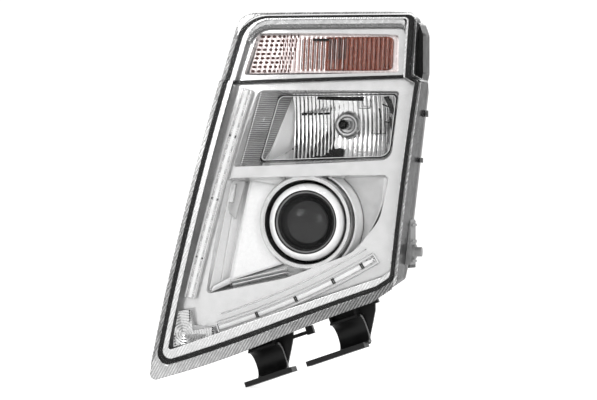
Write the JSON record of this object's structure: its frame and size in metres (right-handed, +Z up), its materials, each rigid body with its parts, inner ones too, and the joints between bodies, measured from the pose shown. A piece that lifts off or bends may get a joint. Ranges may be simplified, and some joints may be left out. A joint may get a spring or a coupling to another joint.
{
  "type": "vehicle headlamp assembly",
  "caption": "Tall wedge-shaped truck headlamp with a clear lens, projector low beam, reflector high beam, amber turn signal, light guides and tube saddles below.",
  "frame": {"origin": "on the cross tube's axis, in the middle of the left foot's saddle", "axes": "+X towards the vehicle's outboard side (right, seen from the front), +Y rearwards, +Z up; the lens faces -Y"},
  "size_m": [0.3466, 0.2329, 0.467],
  "materials": {
    "clear_polycarbonate": "clear hard-coated polycarbonate",
    "seal_black": "black bonding sealant",
    "housing_black": "black talc-filled polypropylene, fine grain",
    "chrome_trim": "vacuum-metallised plastic",
    "black_strip": "black strip",
    "guide_clear": "clear ribbed acrylic",
    "board": "white solder mask with small LEDs",
    "reflector_mirror": "metallised faceted reflector",
    "amber_optic": "amber fluted acrylic",
    "amber_glass": "amber bulb glass",
    "bulb_glass": "quartz glass with a black tip",
    "lens_glass": "thick convex glass over a dark chamber",
    "barrel_black": "black lens holder",
    "steel_zinc": "zinc-plated steel",
    "cast_aluminium": "die-cast aluminium",
    "nylon_white": "natural nylon",
    "nylon_black": "black glass-filled nylon",
    "knob_grey": "grey nylon",
    "peg_grey": "mid-grey nylon",
    "brass_pins": "tin-plated brass",
    "cap_rubber": "black silicone ring"
  },
  "bodies": {
    "housing_body": {"housing": "housing_black", "outer_lens": "clear_polycarbonate", "lens_seal": "seal_black", "main_bezel": "chrome_trim", "signal_bezel": "chrome_trim", "divider_strip": "black_strip", "side_light_guide": "guide_clear", "lower_light_guide": "guide_clear", "corner_position_optic": "guide_clear", "side_led_strip": "board", "lower_led_strip": "board", "position_led_board": "board", "signal_reflector": "reflector_mirror", "signal_amber_optic": "amber_optic", "pivot_stud": "steel_zinc", "pivot_nut": "steel_zinc", "levelling_motor": "nylon_black", "horizontal_adjuster_body": "knob_grey", "connector_socket": "nylon_black", "connector_pins": "brass_pins", "led_driver": "cast_aluminium", "driver_screws": "steel_zinc", "vent_caps": "cap_rubber", "left_foot": "nylon_black", "right_foot": "nylon_black", "foot_screws": "steel_zinc", "upper_bracket": "nylon_black", "bracket_screws": "steel_zinc", "locating_peg": "peg_grey", "housing_clips": "nylon_black"},
    "aim_yoke": {"pivot_socket": "nylon_white"},
    "carrier_body": {"beam_carrier": "nylon_black", "rod_clips": "nylon_white", "high_beam_reflector": "reflector_mirror", "high_beam_bulb": "bulb_glass", "high_beam_bulb_base": "steel_zinc", "projector_lens": "lens_glass", "projector_lens_holder": "barrel_black", "projector_ring": "chrome_trim", "projector_shield": "steel_zinc", "projector_reflector": "cast_aluminium", "projector_bulb": "bulb_glass", "projector_bulb_base": "steel_zinc", "projector_screws": "steel_zinc"},
    "bulb_clip_body": {"high_beam_clip": "steel_zinc"},
    "levelling_rod_body": {"levelling_rod": "nylon_white"},
    "horizontal_rod_body": {"horizontal_aim_rod": "nylon_white"},
    "vertical_knob_body": {"vertical_aim_knob": "nylon_white"},
    "horizontal_knob_body": {"horizontal_aim_knob": "nylon_white"},
    "low_cap_body": {"low_beam_cap": "housing_black", "low_beam_cap_seal": "cap_rubber"},
    "high_cap_body": {"high_beam_cap": "housing_black", "high_beam_cap_seal": "cap_rubber"},
    "signal_holder_body": {"signal_bulb_holder": "knob_grey", "signal_holder_seal": "cap_rubber", "signal_bulb": "amber_glass"}
  },
  "joints": [
    {"name": "horizontal_aim", "type": "hinge", "parent": "housing_body", "child": "aim_yoke", "pos_m": [0.15, 0.04, 0.228], "axis": [0, 0, 1], "range_deg": [-2, 2]},
    {"name": "vertical_aim", "type": "hinge", "parent": "aim_yoke", "child": "carrier_body", "pos_m": [0.15, 0.04, 0.228], "axis": [1, 0, 0], "range_deg": [-2, 2]},
    {"name": "horizontal_rod_travel", "type": "slide", "parent": "housing_body", "child": "horizontal_rod_body", "axis": [0, 1, 0], "range_m": [-0.0055, 0.0055]},
    {"name": "levelling_rod_travel", "type": "slide", "parent": "housing_body", "child": "levelling_rod_body", "axis": [0, 1, 0], "range_m": [-0.003, 0.003]},
    {"name": "horizontal_knob_turn", "type": "hinge", "parent": "housing_body", "child": "horizontal_knob_body", "pos_m": [-0.002, 0.126, 0.228], "axis": [0, 1, 0], "range_deg": [-639, 639]},
    {"name": "vertical_knob_turn", "type": "hinge", "parent": "housing_body", "child": "vertical_knob_body", "pos_m": [0.15, 0.14, 0.146], "axis": [0, 1, 0], "range_deg": [-345, 345]},
    {"name": "low_cap_twist", "type": "hinge", "parent": "housing_body", "child": "low_cap_body", "pos_m": [0.058, 0.155, 0.175], "axis": [0, 1, 0], "range_deg": [0, 30]},
    {"name": "high_cap_twist", "type": "hinge", "parent": "housing_body", "child": "high_cap_body", "pos_m": [0.087, 0.13, 0.2975], "axis": [0, 1, 0], "range_deg": [0, 30]},
    {"name": "signal_holder_twist", "type": "hinge", "parent": "housing_body", "child": "signal_holder_body", "pos_m": [0.105, 0.106, 0.383], "axis": [0, 1, 0], "range_deg": [0, 45]},
    {"name": "bulb_clip_swing", "type": "hinge", "parent": "carrier_body", "child": "bulb_clip_body", "pos_m": [0.087, 0.0852, 0.322], "axis": [1, 0, 0], "range_deg": [0, 60]}
  ],
  "couplings": [
    {"joint": "horizontal_rod_travel", "follows": "horizontal_aim", "m_per_rad": -0.152},
    {"joint": "levelling_rod_travel", "follows": "vertical_aim", "m_per_rad": 0.082},
    {"joint": "horizontal_knob_turn", "follows": "horizontal_aim", "ratio": -318.35},
    {"joint": "vertical_knob_turn", "follows": "vertical_aim", "ratio": 171.74}
  ]
}
